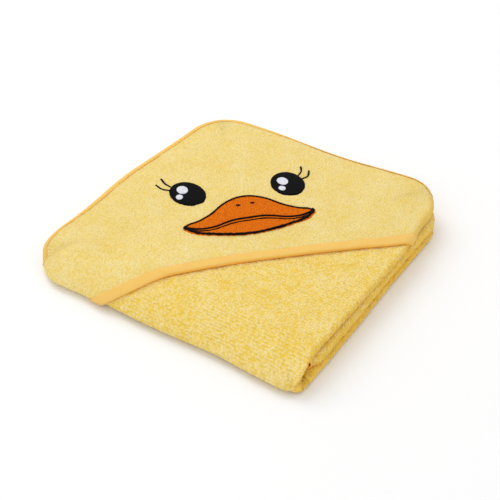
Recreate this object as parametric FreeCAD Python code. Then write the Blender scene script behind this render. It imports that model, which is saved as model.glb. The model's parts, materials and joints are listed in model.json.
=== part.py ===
import FreeCAD, Part
import math
import os

# Hooded baby towel, folded in thirds both ways into a square packet.
# Millimetres. +X runs along the back edge from the hood's corner, -Y runs along the left
# edge from the same corner, +Z is up. The origin is under the middle of the packet.
#
# The towel is one square of terry. It is folded in thirds across X first: panel a on top,
# a loop at the right, panel b below, a loop at the left, and panel c tucked between them.
# That strip is folded in thirds across Y: fold A with the hood on top, fold B upside down
# on the floor, and fold C tucked between. A turns about a line along X, at y -127 and
# z 15.65 inside the front wrap, to open; the wrap bends and stays on the base.

# Driving dimensions
WIDTH = 275.0            # packet, along X
DEPTH = 272.0            # packet, along Y
CLOTH = 2.8              # terry as it lies in the pile
LAYER_GAP = 0.2          # between two layers of one fold
FOLD_GAP = 0.3           # between fold B and fold C
TOP_CLEARANCE = 0.5      # between fold C and the moving fold A
HOOD_CLOTH = 2.6         # the hood's own terry
WING_CLOTH = 1.4         # the hood where the pile presses it flat
BINDING = 0.8            # hem binding beyond the hood's face
TAPE = 0.7               # one thickness of binding tape
EDGE_WIDTH = 8.0         # binding on the towel's edge
HEM_WIDTH = 13.0         # binding on the hood's hem
HEM_LINE = 84.0          # x - y along the hood's hem, on top
TOWEL_CORNER = 40.0      # radius of the towel's cut corners

TOP_INSET_LEFT = 3.5     # fold A is a little narrower than the folds below
TOP_INSET_RIGHT = 3.5
TOP_END = -97.0          # Y where fold A ends and the front wrap starts
BASE_END = -117.0        # Y where fold B ends and the front wrap starts
INNER_END = -112.0       # Y of fold C's free edge
RADII = dict(front_left=36.0, front_right=14.0, back_right=44.0, back_left=TOWEL_CORNER)

# Embroidery, in the face's own axes: across is along (1, 1), down is along (1, -1),
# both from the hood's corner
FACE_CORNER = (-133.6, 135.9)
EYE_ACROSS, EYE_DOWN = 46.4, 146.0
EYE_HALF_WIDTH, EYE_HALF_HEIGHT = 15.3, 19.8
EYE_TURN = 8.0           # degrees, each eye's top leans outwards
GLINTS = {"large_glint": (-4.0, -6.0, 4.9, 6.6), "small_glint": (-7.2, 5.2, 3.1, 4.1)}
FILL, LINE = 0.6, 0.4    # thickness of filled embroidery and of the line work on it
OUTLINE_WIDTH, MOUTH_WIDTH, LIP_WIDTH, LASH_WIDTH = 2.0, 1.6, 0.9, 1.3

# Half of each bill curve, from the middle to the tip, as (across, down)
BILL_TOP = [(0, 157.5), (7, 158.5), (15, 162.3), (27, 173.0), (40, 182.6), (51, 187.6), (58.0, 191.5)]
BILL_BOTTOM = [(0, 214.2), (20, 212.0), (35, 207.8), (48, 202.0), (58.0, 195.5)]
MOUTH = [(0, 190.0), (12, 190.8), (23, 194.0), (34, 197.3), (45, 198.0), (58.0, 193.5)]
LIP = [(0, 195.0), (12, 195.8), (22, 198.6), (32, 201.6), (42, 201.8), (50, 198.6)]
NOSTRIL = (6.2, 170.2, 2.6, 1.1)      # across, down, half length, half width
LASHES = {"upper": [(60.0, 132.5), (63.6, 127.5), (65.8, 118.8)],
          "lower": [(61.6, 138.8), (67.6, 135.0), (71.4, 127.4)]}

# Levels
LEFT, RIGHT = -WIDTH / 2, WIDTH / 2
FRONT, BACK = -DEPTH / 2, DEPTH / 2
TOP_LEFT, TOP_RIGHT = LEFT + TOP_INSET_LEFT, RIGHT - TOP_INSET_RIGHT
PITCH = CLOTH + LAYER_GAP
FOLD_HEIGHT = 2 * PITCH + CLOTH
BASE_Z = 0.0
INNER_Z = BASE_Z + FOLD_HEIGHT + FOLD_GAP
INNER_TOP = INNER_Z + FOLD_HEIGHT
TOP_Z = INNER_TOP + TOP_CLEARANCE
TERRY_TOP = TOP_Z + FOLD_HEIGHT
HOOD_Z = TERRY_TOP + 0.1
HOOD_TOP = HOOD_Z + HOOD_CLOTH
FACE_Z = HOOD_TOP + 0.05
LINE_Z = FACE_Z + FILL + 0.05
LOOP = FOLD_HEIGHT / 2                # radius of the loop that joins panels a and b
WRAP_BACK = BACK - INNER_TOP / 2      # Y where the wrap that joins folds B and C starts
WRAP_START = TOP_END - 0.3            # the front wrap stands this clear of the moving fold
WRAP_NOSE_Z = 5.5                     # height of the front wrap's foremost point
WRAP_HEM_RUN = 43.0                   # how far the hem runs along X on its way down the wrap
WING_LEG = 57.0                       # the hood's point below fold B, along each edge
LOOP_HEM_RISE = 14.0                  # how far the hem runs along Y on its way round the loop

V = FreeCAD.Vector
FAR = 400.0
SPECK = 0.05             # mm3, below which a cut's leftover is dropped


def box(x0, x1, y0, y1, z0, z1):
    return Part.makeBox(x1 - x0, y1 - y0, z1 - z0, V(x0, y0, z0))


def prism(points, z0, z1):
    """Upright prism over a polygon of (x, y) points."""
    face = Part.Face(Part.makePolygon([V(x, y, z0) for x, y in points + points[:1]]))
    return face.extrude(V(0, 0, z1 - z0))


def footprint(inset, z0, z1, left=LEFT, right=RIGHT, front=FRONT, back=BACK, radii=RADII):
    """Upright prism over the packet's outline, pulled in by inset all round."""
    x0, x1, y0, y1 = left + inset, right - inset, front + inset, back - inset
    corners = [(x0, y0, 180, radii["front_left"]), (x1, y0, 270, radii["front_right"]),
               (x1, y1, 0, radii["back_right"]), (x0, y1, 90, radii["back_left"])]
    arcs = []
    for x, y, start, radius in corners:
        radius -= inset
        across = radius if x == x0 else -radius
        along = radius if y == y0 else -radius
        centre = V(x + across, y + along, z0)
        circle = Part.Circle(centre, V(0, 0, 1), radius)
        arcs.append(Part.Arc(circle, math.radians(start), math.radians(start + 90)).toShape())
    edges = []
    for this, after in zip(arcs, arcs[1:] + arcs[:1]):
        edges += [this, Part.LineSegment(this.Vertexes[-1].Point, after.Vertexes[0].Point).toShape()]
    return Part.Face(Part.Wire(edges)).extrude(V(0, 0, z1 - z0))


def half_ring(x, z, outer, inner, y0, y1, side):
    """Half a tube along Y whose bulge points to side (1 right, -1 left)."""
    tube = Part.makeCylinder(outer, y1 - y0, V(x, y0, z), V(0, 1, 0))
    tube = tube.cut(Part.makeCylinder(inner, y1 - y0, V(x, y0, z), V(0, 1, 0)))
    keep = box(x, x + FAR, y0, y1, -FAR, FAR) if side > 0 else box(x - FAR, x, y0, y1, -FAR, FAR)
    return tube.common(keep)


def panels(z, left, right, y0, y1, face_up):
    """The three panels of one fold, by name, each with its loop fused on."""
    bottom, middle, top = z, z + PITCH, z + 2 * PITCH
    a_z, b_z = (top, bottom) if face_up else (bottom, top)
    small = (PITCH + CLOTH) / 2
    small_z = (b_z + middle + CLOTH) / 2
    loop_x, turn_x = right - LOOP, left + small
    c_end = loop_x - 2.0
    a = box(left, loop_x, y0, y1, a_z, a_z + CLOTH)
    a = a.fuse(half_ring(loop_x, z + LOOP, LOOP, LOOP - CLOTH, y0, y1, 1))
    b = box(turn_x, loop_x, y0, y1, b_z, b_z + CLOTH)
    b = b.fuse(half_ring(turn_x, small_z, small, small - CLOTH, y0, y1, -1))
    c = box(turn_x, c_end, y0, y1, middle, middle + CLOTH)
    return {"a": a, "b": b, "c": c, "a_z": a_z, "c_z": middle, "c_end": c_end}


def taped(cloth, block, outline, z0, z1):
    """Binding folded over a cut edge: the block less the cloth that it grips."""
    grip = outline(TAPE).common(box(-FAR, FAR, -FAR, FAR, z0 + TAPE, z1 - TAPE))
    return cloth.common(block).cut(grip)


def fold(z, left, right, y0, y1, face_up, outline):
    """One fold of the towel: its terry, and the binding on its two edges that run along Y."""
    part = panels(z, left, right, y0, y1, face_up)
    cloth = part["a"].fuse([part["b"], part["c"]]).common(outline(0))
    a_z, c_z, c_end = part["a_z"], part["c_z"], part["c_end"]
    rim = outline(0).cut(outline(EDGE_WIDTH))
    left_block = rim.common(box(left - 1, left + TOWEL_CORNER, y0, y1, a_z, a_z + CLOTH))
    inner_block = box(c_end - EDGE_WIDTH, c_end, y0, y1, c_z, c_z + CLOTH)
    grip = box(c_end - EDGE_WIDTH, c_end - TAPE, y0, y1, c_z + TAPE, c_z + CLOTH - TAPE)
    pieces = {"left": taped(cloth, left_block, outline, a_z, a_z + CLOTH),
              "inner": cloth.common(inner_block).cut(grip)}
    pieces["terry"] = cloth.cut(pieces["left"]).cut(pieces["inner"])
    pieces["panel_levels"] = {"a": a_z, "b": z if face_up else z + 2 * PITCH, "c": c_z}
    pieces["panel_ends"] = {"a": FAR, "b": FAR, "c": c_end}
    return pieces


def end_bound(pieces, outline, y_edge, inward, names):
    """Binding along a fold's cut end, over each of the named panels; pieces gets the rest."""
    y0, y1 = sorted((y_edge, y_edge + inward * EDGE_WIDTH))
    rows = []
    for name in names:
        z0 = pieces["panel_levels"][name]
        block = box(-FAR, pieces["panel_ends"][name], y0, y1, z0, z0 + CLOTH)
        rows.append(taped(pieces["terry"], block, outline, z0, z0 + CLOTH))
    binding = rows[0].fuse(rows[1:]) if len(rows) > 1 else rows[0]
    for other in ("left", "inner", "terry"):
        pieces[other] = pieces[other].cut(binding)
    return binding


def bezier(*points):
    curve = Part.BezierCurve()
    curve.setPoles([V(0, y, z) for y, z in points])
    return curve.toShape()


def line(start, end):
    return Part.makeLine(V(0, *start), V(0, *end))


def along_x(edges):
    face = Part.Face(Part.Wire(Part.__sortEdges__(edges)))
    face.translate(V(LEFT, 0, 0))
    return face.extrude(V(WIDTH, 0, 0))


def wrap_body(skin, under_z=0.0):
    """The front wrap from fold A's level down and under, skin mm inside the hood's face."""
    top, under = (WRAP_START, HOOD_TOP - skin), (BASE_END, under_z)
    nose = (FRONT + skin, WRAP_NOSE_Z)
    upper = bezier(top, (TOP_END - 11.0, top[1]), (nose[0], 13.0), nose)
    lower = bezier(nose, (nose[0], under_z + 1.8), (BASE_END - 9.0, under_z), under)
    behind = (WRAP_START, under_z)
    return along_x([upper, lower, line(under, behind), line(behind, top)])


def wrap_hollow():
    """The space inside the front wrap, round fold C's free edge."""
    top, under = (WRAP_START, TOP_Z), (BASE_END, FOLD_HEIGHT)
    nose = (INNER_END - 10.5, INNER_Z + 3.0)
    roof = bezier(top, (INNER_END - 7.0, TOP_Z), (nose[0], nose[1] + 5.5), nose)
    floor = bezier(nose, (nose[0], FOLD_HEIGHT), (BASE_END - 3.0, FOLD_HEIGHT), under)
    return along_x([roof, floor, line(under, (WRAP_START, FOLD_HEIGHT)),
                    line((WRAP_START, FOLD_HEIGHT), top)])


def wrap_layers():
    """The front wrap's layers: the hood's sheet over the full width, and the terry inside."""
    behind_base = box(-FAR, FAR, BASE_END, FAR, -1, FOLD_HEIGHT)
    skin = HOOD_TOP - TERRY_TOP
    hollow = wrap_hollow()
    sheet = wrap_body(0.0).cut(wrap_body(skin, WING_CLOTH)).cut(hollow).cut(behind_base)
    return sheet, wrap_body(skin).cut(hollow).cut(behind_base)


def half_plane(a, b):
    """Upright block over everything to the left of the line from a to b."""
    dx, dy = b[0] - a[0], b[1] - a[1]
    scale = 3 * FAR / math.hypot(dx, dy)
    dx, dy = dx * scale, dy * scale
    near, far = (a[0] - dx, a[1] - dy), (a[0] + dx, a[1] + dy)
    return prism([near, far, (far[0] - dy, far[1] + dx), (near[0] - dy, near[1] + dx)], -FAR, FAR)


def behind_hem(back=0.0):
    """Hood side of the hem line on top, moved back mm square to it."""
    shift = HEM_LINE - back * math.sqrt(2)
    return half_plane((shift, 0), (shift + 1, 1))


def behind_wrap_hem(back=0.0):
    """Hood side of the hem where it runs down the front wrap, then back below it to fold B."""
    start = HEM_LINE + TOP_END - back * math.sqrt(2)
    foot, wing = start - WRAP_HEM_RUN, LEFT + WING_LEG - back * math.sqrt(2)
    upper = half_plane((foot, FRONT), (start, TOP_END)).common(
        box(-FAR, FAR, -FAR, FAR, WRAP_NOSE_Z, FAR))
    lower = half_plane((foot, FRONT), (wing, BASE_END)).common(
        box(-FAR, FAR, -FAR, FAR, -FAR, WRAP_NOSE_Z))
    return upper.fuse(lower)


def behind_wing_hem(back=0.0):
    """Hood side of the hem below fold B, where the hood's point lies on the floor."""
    leg = WING_LEG - back * math.sqrt(2)
    return half_plane((LEFT + leg, BASE_END), (LEFT, BASE_END + leg)).common(
        box(-FAR, FAR, BASE_END, FAR, -FAR, FAR))


def behind_loop_hem(back=0.0):
    """Hood side of the hem round the right loop and below fold A."""
    turn = TOP_RIGHT - LOOP
    high = turn - HEM_LINE + back * math.sqrt(2)
    low = high + LOOP_HEM_RISE
    corners = [(high, FAR), (high, HOOD_TOP), (low, TOP_Z), (low, -FAR), (FAR, -FAR), (FAR, FAR)]
    face = Part.Face(Part.makePolygon([V(turn, y, z) for y, z in corners + corners[:1]]))
    below = half_plane((turn - 1, low + 1), (turn, low)).common(box(-FAR, turn, -FAR, FAR, -FAR, FAR))
    return face.extrude(V(FAR, 0, 0)).fuse(below)


def towel(hood):
    """The towel's own terry and its edge binding, folded round the hood's pieces."""
    def base_outline(inset):
        return footprint(inset, -FAR, FAR)

    def inner_outline(inset):
        radii = dict(RADII, front_left=TOWEL_CORNER)
        return footprint(inset, -FAR, FAR, front=INNER_END, radii=radii)

    base = fold(BASE_Z, LEFT, RIGHT, BASE_END, WRAP_BACK, False, base_outline)
    inner = fold(INNER_Z, LEFT, RIGHT, INNER_END, WRAP_BACK, True, inner_outline)
    top = fold(TOP_Z, TOP_LEFT, TOP_RIGHT, TOP_END, BACK, True, top_outline)
    front_end = end_bound(inner, inner_outline, INNER_END, 1, "abc")
    back_end = end_bound(top, top_outline, BACK, -1, "bc")
    top["terry"] = top["terry"].fuse(top["left"]).cut(hood["top_edge_binding"])

    axis = V(LEFT, WRAP_BACK, INNER_TOP / 2)
    tube = Part.makeCylinder(INNER_TOP / 2, WIDTH, axis, V(1, 0, 0))
    core = Part.makeCylinder(FOLD_GAP / 2, WIDTH, axis, V(1, 0, 0))
    behind = box(LEFT, RIGHT, WRAP_BACK, BACK, 0, INNER_TOP)
    back_wrap = tube.cut(core).common(behind).common(base_outline(0))
    skin = tube.cut(Part.makeCylinder(INNER_TOP / 2 - CLOTH, WIDTH, axis, V(1, 0, 0)))
    back_binding = back_wrap.common(skin).cut(base_outline(EDGE_WIDTH)).common(
        box(LEFT, LEFT + TOWEL_CORNER, WRAP_BACK, BACK, 0, INNER_TOP))

    wing = hood["hood_base_wing"].fuse(hood["hem_base_wing"])
    wrapped = hood["hood_wrap"].fuse([hood["hem_wrap"], hood["front_wrap_binding"]])
    terry_wrap = wrap_layers()[1].common(base_outline(0)).cut(wrapped)
    return {"base_terry": base["terry"].cut(wing), "base_left_binding": base["left"].cut(wing),
            "base_tucked_binding": base["inner"],
            "inner_terry": inner["terry"], "inner_left_binding": inner["left"],
            "inner_tucked_binding": inner["inner"], "front_end_binding": front_end,
            "top_terry": top["terry"].cut(hood["hood_panel"]).cut(hood["hem_binding"]),
            "top_tucked_binding": top["inner"], "back_end_binding": back_end,
            "back_wrap_terry": back_wrap.cut(back_binding), "back_wrap_binding": back_binding,
            "front_wrap_terry": terry_wrap}


def top_outline(inset):
    return footprint(inset, -FAR, FAR, left=TOP_LEFT, right=TOP_RIGHT)


def hood_pieces():
    """The hood, its hem binding, and the edge binding that grips hood and towel together."""
    outline = top_outline(0)
    turn = TOP_RIGHT - LOOP
    plate = outline.common(box(LEFT, turn, TOP_END, BACK, HOOD_Z, HOOD_TOP))

    # The hood follows the towel round the right loop and a little way below fold A
    wing_z = TOP_Z + WING_CLOTH
    loop_z = (TOP_Z + HOOD_TOP) / 2
    loop = Part.makeCylinder(HOOD_TOP - loop_z, BACK - TOP_END, V(turn, TOP_END, loop_z), V(0, 1, 0))
    loop = loop.common(box(turn, FAR, TOP_END, BACK, TOP_Z, HOOD_TOP))
    inside = (TERRY_TOP - wing_z) / 2
    inside_z = wing_z + inside - LAYER_GAP
    towel_loop = Part.makeCylinder(inside, BACK - TOP_END, V(turn, TOP_END, inside_z), V(0, 1, 0))
    loop = loop.cut(towel_loop).common(outline)
    wing = box(LEFT, turn, TOP_END, BACK - EDGE_WIDTH, TOP_Z, wing_z).common(outline)
    side = loop.fuse(wing)

    ring = outline.cut(top_outline(EDGE_WIDTH)).common(
        box(LEFT, TOP_RIGHT - RADII["back_right"], TOP_END, BACK, TERRY_TOP - CLOTH, HOOD_TOP + TAPE))
    grip = top_outline(TAPE).common(
        box(LEFT, FAR, -FAR, FAR, TERRY_TOP - CLOTH + TAPE, HOOD_TOP - TAPE))
    edge = ring.cut(grip)

    hem_block = outline.common(box(LEFT, turn, TOP_END, BACK, HOOD_Z, HOOD_TOP + BINDING))
    hem_block = hem_block.common(behind_hem()).cut(behind_hem(HEM_WIDTH))
    hem_grip = behind_hem(TAPE).common(
        box(LEFT, turn - TAPE, TOP_END, BACK, HOOD_Z + TAPE, HOOD_TOP))
    hem_side = side.common(behind_loop_hem()).cut(behind_loop_hem(HEM_WIDTH))
    hem = hem_block.cut(hem_grip).fuse(hem_side).cut(edge)
    hood = plate.common(behind_hem()).fuse(side.common(behind_loop_hem())).cut(hem).cut(edge)

    sheet = wrap_layers()[0].common(footprint(0, -FAR, FAR))
    bound = sheet.cut(footprint(EDGE_WIDTH, -FAR, FAR)).common(
        box(LEFT, LEFT + EDGE_WIDTH * 2, BASE_END, TOP_END, -1, FAR))
    hood_wrap = sheet.common(behind_wrap_hem(HEM_WIDTH)).cut(bound)
    hem_wrap = sheet.common(behind_wrap_hem()).cut(behind_wrap_hem(HEM_WIDTH)).cut(bound)

    floor_wing = footprint(EDGE_WIDTH, 0, WING_CLOTH)
    base_wing = floor_wing.common(behind_wing_hem(HEM_WIDTH))
    hem_base = floor_wing.common(behind_wing_hem()).cut(behind_wing_hem(HEM_WIDTH))
    return {"hood_panel": hood, "hem_binding": hem, "top_edge_binding": edge,
            "hood_wrap": hood_wrap, "hem_wrap": hem_wrap, "front_wrap_binding": bound,
            "hood_base_wing": base_wing, "hem_base_wing": hem_base}


def spread(points):
    """A half curve from the middle to the tip, with its mirror image before it."""
    return [(-across, down) for across, down in points[:0:-1]] + points


def on_face(across, down, z):
    """A point of the face in the towel's axes."""
    root = math.sqrt(2)
    return V(FACE_CORNER[0] + (across + down) / root, FACE_CORNER[1] + (across - down) / root, z)


def curve_through(points, z):
    curve = Part.BSplineCurve()
    curve.interpolate([on_face(across, down, z) for across, down in points])
    return curve


def region(upper, lower, z, thickness):
    """Filled embroidery between two curves, closed by a short side at each tip."""
    first, second = (curve_through(spread(half), z).toShape() for half in (upper, lower))
    ends = [Part.makeLine(first.valueAt(first.FirstParameter), second.valueAt(second.FirstParameter)),
            Part.makeLine(first.valueAt(first.LastParameter), second.valueAt(second.LastParameter))]
    outline = Part.Wire(Part.__sortEdges__([first, second] + ends))
    return Part.Face(outline).extrude(V(0, 0, thickness))


def ribbon(points, width, z, thickness):
    """A band of stitches of one width along a curve."""
    curve = curve_through(points, z)
    count = 8 * len(points)
    sides = ([], [])
    for step in range(count + 1):
        at = curve.FirstParameter + (curve.LastParameter - curve.FirstParameter) * step / count
        point, tangent = curve.value(at), curve.tangent(at)[0]
        across = V(-tangent.y, tangent.x, 0) * (width / 2)
        sides[0].append(point + across)
        sides[1].append(point - across)
    outline = sides[0] + sides[1][::-1]
    return Part.Face(Part.makePolygon(outline + outline[:1])).extrude(V(0, 0, thickness))


def oval(across, down, half_across, half_down, turn, z, thickness):
    """A filled oval, turned by degrees in the plane of the face."""
    cos, sin = math.cos(math.radians(turn)), math.sin(math.radians(turn))
    ring = []
    for step in range(16):
        angle = math.tau * step / 16
        u, v = half_across * math.cos(angle), half_down * math.sin(angle)
        ring.append(on_face(across + u * cos - v * sin, down + u * sin + v * cos, z))
    curve = Part.BSplineCurve()
    curve.interpolate(ring, PeriodicFlag=True)
    return Part.Face(Part.Wire(curve.toShape())).extrude(V(0, 0, thickness))


def face_pieces():
    """The duck's face, embroidered on the hood."""
    pieces = {}
    for side, sign in (("left", -1), ("right", 1)):
        pieces["eye_" + side] = oval(sign * EYE_ACROSS, EYE_DOWN, EYE_HALF_WIDTH, EYE_HALF_HEIGHT,
                                     sign * EYE_TURN, FACE_Z, FILL)
        for glint, (across, down, half_across, half_down) in GLINTS.items():
            pieces["eye_" + side + "_" + glint] = oval(
                sign * EYE_ACROSS + across, EYE_DOWN + down, half_across, half_down, 0, LINE_Z, LINE)
        for lash, points in LASHES.items():
            mirrored = [(sign * across, down) for across, down in points]
            pieces["lash_" + side + "_" + lash] = ribbon(mirrored, LASH_WIDTH, FACE_Z, FILL)
        across, down, half_length, half_width = NOSTRIL
        pieces["nostril_" + side] = oval(sign * across, down, half_length, half_width, sign * -12,
                                         LINE_Z, LINE)
    pieces["bill_upper"] = region(BILL_TOP, MOUTH, FACE_Z, FILL)
    pieces["bill_lower"] = region(MOUTH, BILL_BOTTOM, FACE_Z, FILL)
    pieces["bill_top_outline"] = ribbon(spread(BILL_TOP), OUTLINE_WIDTH, LINE_Z, LINE)
    pieces["bill_bottom_outline"] = ribbon(spread(BILL_BOTTOM), OUTLINE_WIDTH, LINE_Z, LINE)
    pieces["mouth_line"] = ribbon(spread(MOUTH)[1:-1], MOUTH_WIDTH, LINE_Z, LINE)
    pieces["lip_line"] = ribbon(spread(LIP), LIP_WIDTH, LINE_Z, LINE)
    return pieces


def seam(start, end, z, length=3.2, pitch=4.4, width=0.8, height=0.3):
    """A row of separate stitches along a straight seam."""
    whole = V(end[0] - start[0], end[1] - start[1], 0)
    angle = math.degrees(math.atan2(whole.y, whole.x))
    row = []
    for number in range(int(whole.Length // pitch)):
        stitch = Part.makeBox(length, width, height, V(0, -width / 2, 0))
        stitch.rotate(V(0, 0, 0), V(0, 0, 1), angle)
        along = whole * ((number * pitch + (pitch - length) / 2) / whole.Length)
        stitch.translate(V(start[0], start[1], z) + along)
        row.append(stitch)
    return Part.makeCompound(row)


def stitching():
    """The visible rows that hold the hem's and the edge's binding down."""
    inset = EDGE_WIDTH - 1.2
    hem_back = HEM_LINE - (HEM_WIDTH - 1.2) * math.sqrt(2)
    right = TOP_RIGHT - LOOP
    edge_z = HOOD_TOP + TAPE
    return {"hem_stitching": seam((hem_back + TOP_END, TOP_END + 1), (right, right - hem_back),
                                  HOOD_TOP + BINDING),
            "left_edge_stitching": seam((TOP_LEFT + inset, TOP_END + 1),
                                        (TOP_LEFT + inset, BACK - TOWEL_CORNER), edge_z),
            "back_edge_stitching": seam((TOP_LEFT + TOWEL_CORNER, BACK - inset),
                                        (TOP_RIGHT - RADII["back_right"], BACK - inset), edge_z)}


def save(name, shape):
    solids = [solid for solid in shape.Solids if solid.Volume > SPECK]
    shape = solids[0] if len(solids) == 1 else Part.makeCompound(solids)
    if not shape.isValid():
        raise ValueError(name + " is not a valid solid")
    shape.exportStep("parts/" + name + ".step")
    print(name, len(solids), "solids", round(shape.Volume), "mm3")


os.makedirs("parts", exist_ok=True)
hood_nodes = hood_pieces()
for nodes in (hood_nodes, towel(hood_nodes), stitching(), face_pieces()):
    for node, node_shape in nodes.items():
        save(node, node_shape)
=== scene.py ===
"""A hooded baby towel, folded in thirds both ways, with its hood and embroidered duck face on top."""

import json
import math

import bmesh
import bpy
import numpy as np
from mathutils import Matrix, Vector

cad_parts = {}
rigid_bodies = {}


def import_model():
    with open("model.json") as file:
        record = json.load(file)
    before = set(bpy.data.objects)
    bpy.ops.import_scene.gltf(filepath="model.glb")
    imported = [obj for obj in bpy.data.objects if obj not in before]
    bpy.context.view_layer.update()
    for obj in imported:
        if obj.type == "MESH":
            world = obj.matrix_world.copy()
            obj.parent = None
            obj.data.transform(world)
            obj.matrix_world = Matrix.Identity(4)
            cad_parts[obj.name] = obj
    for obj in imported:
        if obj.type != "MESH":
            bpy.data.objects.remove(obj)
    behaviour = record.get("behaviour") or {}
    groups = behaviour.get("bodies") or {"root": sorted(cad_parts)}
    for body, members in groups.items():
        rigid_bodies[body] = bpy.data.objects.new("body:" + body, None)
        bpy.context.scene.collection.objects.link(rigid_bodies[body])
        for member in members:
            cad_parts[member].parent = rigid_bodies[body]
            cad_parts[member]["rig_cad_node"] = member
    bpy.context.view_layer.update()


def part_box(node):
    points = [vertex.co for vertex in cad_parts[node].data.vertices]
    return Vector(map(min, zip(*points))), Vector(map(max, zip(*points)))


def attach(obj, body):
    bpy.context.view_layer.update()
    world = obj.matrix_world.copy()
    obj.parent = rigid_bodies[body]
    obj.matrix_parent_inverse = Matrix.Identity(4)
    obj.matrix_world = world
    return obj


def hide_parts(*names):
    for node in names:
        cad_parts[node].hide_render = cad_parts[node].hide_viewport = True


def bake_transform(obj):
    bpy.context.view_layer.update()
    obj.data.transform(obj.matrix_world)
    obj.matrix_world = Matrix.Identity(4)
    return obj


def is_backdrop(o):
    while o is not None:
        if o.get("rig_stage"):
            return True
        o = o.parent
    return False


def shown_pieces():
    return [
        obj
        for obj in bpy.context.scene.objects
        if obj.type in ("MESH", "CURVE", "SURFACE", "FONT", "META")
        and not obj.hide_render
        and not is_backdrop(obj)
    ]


bl_info = {
    "name": "Folded Hooded Towel",
    "version": (1, 0, 0),
    "blender": (4, 5, 0),
    "location": "3D View > Sidebar > Towel",
    "description": "Builds a folded hooded baby towel around its packed frame",
    "category": "Object",
}

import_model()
MM = 0.001


def box_mm(node):
    """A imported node's lowest and highest corners, in millimetres."""
    low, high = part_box(node)
    return [value / MM for value in low], [value / MM for value in high]


EDGE_LOW, EDGE_HIGH = box_mm("top_edge_binding")
TOP_LOW, TOP_HIGH = box_mm("top_terry")
BASE_LOW, BASE_HIGH = box_mm("base_terry")
INNER_LOW = box_mm("inner_terry")[0]
END_LOW = box_mm("front_end_binding")[0]
HOOD_HIGH = box_mm("hood_panel")[1]
WRAP_LOW = box_mm("hood_wrap")[0]

# The folded packet, in millimetres, from the frame's own boxes
LEFT, RIGHT = EDGE_LOW[0], TOP_HIGH[0]          # fold A, the moving one
BACK, TOP_END = EDGE_HIGH[1], TOP_LOW[1]
TOP_Z, TERRY_TOP = TOP_LOW[2], TOP_HIGH[2]
BASE_RIGHT, BASE_END = BASE_HIGH[0], BASE_LOW[1]
WRAP_BACK, STRIP = BASE_HIGH[1], TERRY_TOP - TOP_Z
INNER_Z, INNER_END = INNER_LOW[2], END_LOW[1]
HOOD_TOP, FRONT = HOOD_HIGH[2], WRAP_LOW[1]

# Cloth, tape and hem, in millimetres
CLOTH, HOOD_CLOTH = 2.8, 2.6                    # thickness of the towel's terry and of the hood's
WING = 1.4                                      # height that the hood's lower wing takes up
TAPE = 0.7                                      # thickness of the tape
TERRY_INSET = 1.2                               # terry stops this far inside the tape's edge
HEM_LINE = 84.0                                 # x - y along the hood's hem, on top
ROOT2 = math.sqrt(2)

# The strip's own folds: panel a, right loop, panel b, left loop, panel c
LOOP_MID, SMALL_MID = (STRIP - CLOTH) / 2, 1.5
TURN = RIGHT - STRIP / 2
SMALL_TURN = LEFT + SMALL_MID + CLOTH / 2
LOOP_RUN, SMALL_RUN = math.pi * LOOP_MID, math.pi * SMALL_MID
B_START = TURN + LOOP_RUN
C_START = B_START + TURN - SMALL_TURN + SMALL_RUN
STRIP_END = C_START + (TURN - 2.0) - SMALL_TURN
HOOD_TURN_RUN = 14.9                            # cloth that the hood spends going round the right turn

# The towel's length, from the back edge of fold A down and round to the tucked end
WRAP_RUN = 67.0
B_RUN = WRAP_BACK - BASE_END
BACK_WRAP_RADIUS = 7.5
BACK_RUN = math.pi * BACK_WRAP_RADIUS
C_RUN = WRAP_BACK - INNER_END
WRAP_Q = TOP_END
B_Q = WRAP_Q - WRAP_RUN
BACK_Q = B_Q - B_RUN
C_Q = BACK_Q - BACK_RUN
END_Q = C_Q - C_RUN

TOP_RADII = {"back_left": 40.0, "back_right": 44.0, "front_left": 36.0, "front_right": 14.0}
BASE_RADII = {"back_left": 40.0, "back_right": 46.0, "front_left": 36.0, "front_right": 14.0}
TUCKED_RADII = {"back_left": 40.0, "back_right": 46.0, "front_left": 40.0, "front_right": 14.0}


def smooth(value):
    value = np.clip(value, 0.0, 1.0)
    return value * value * (3 - 2 * value)


def bezier(points, t):
    shares = ((1 - t) ** 3, 3 * (1 - t) ** 2 * t, 3 * (1 - t) * t ** 2, t ** 3)
    return np.stack([sum(share * point[axis] for share, point in zip(shares, points)) for axis in (0, 1)])


def wrap_skin(skin, under_z, turn):
    """(y, z) of the front wrap's face, skin mm inside the hood's face; turn runs 0 to 2."""
    top, under = (TOP_END, HOOD_TOP - skin), (BASE_END, under_z)
    nose = (FRONT + skin, 5.5)
    upper = bezier([top, (TOP_END - 11.0, top[1]), (nose[0], 13.0), nose], np.clip(turn, 0, 1))
    lower = bezier([nose, (nose[0], under_z + 1.8), (BASE_END - 9.0, under_z), under],
                   np.clip(turn - 1, 0, 1))
    return np.where(turn < 1, upper, lower)


def wrap_inside(turn):
    top, under = (TOP_END, TOP_Z), (BASE_END, STRIP)
    nose = (INNER_END - 10.5, INNER_Z + 3.0)
    upper = bezier([top, (INNER_END - 7.0, TOP_Z), (nose[0], nose[1] + 5.5), nose], np.clip(turn, 0, 1))
    lower = bezier([nose, (nose[0], STRIP), (BASE_END - 3.0, STRIP), under], np.clip(turn - 1, 0, 1))
    return np.where(turn < 1, upper, lower)


def wrap_turns():
    """Lengths along the wrap's face against turn, so that cloth is spread evenly round it."""
    turn = np.linspace(0, 2, 161)
    y, z = wrap_skin(HOOD_TOP - TERRY_TOP, 0.0, turn)
    run = np.concatenate([[0], np.cumsum(np.hypot(np.diff(y), np.diff(z)))])
    return turn, run / run[-1]


TURNS, TURN_RUNS = wrap_turns()


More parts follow.
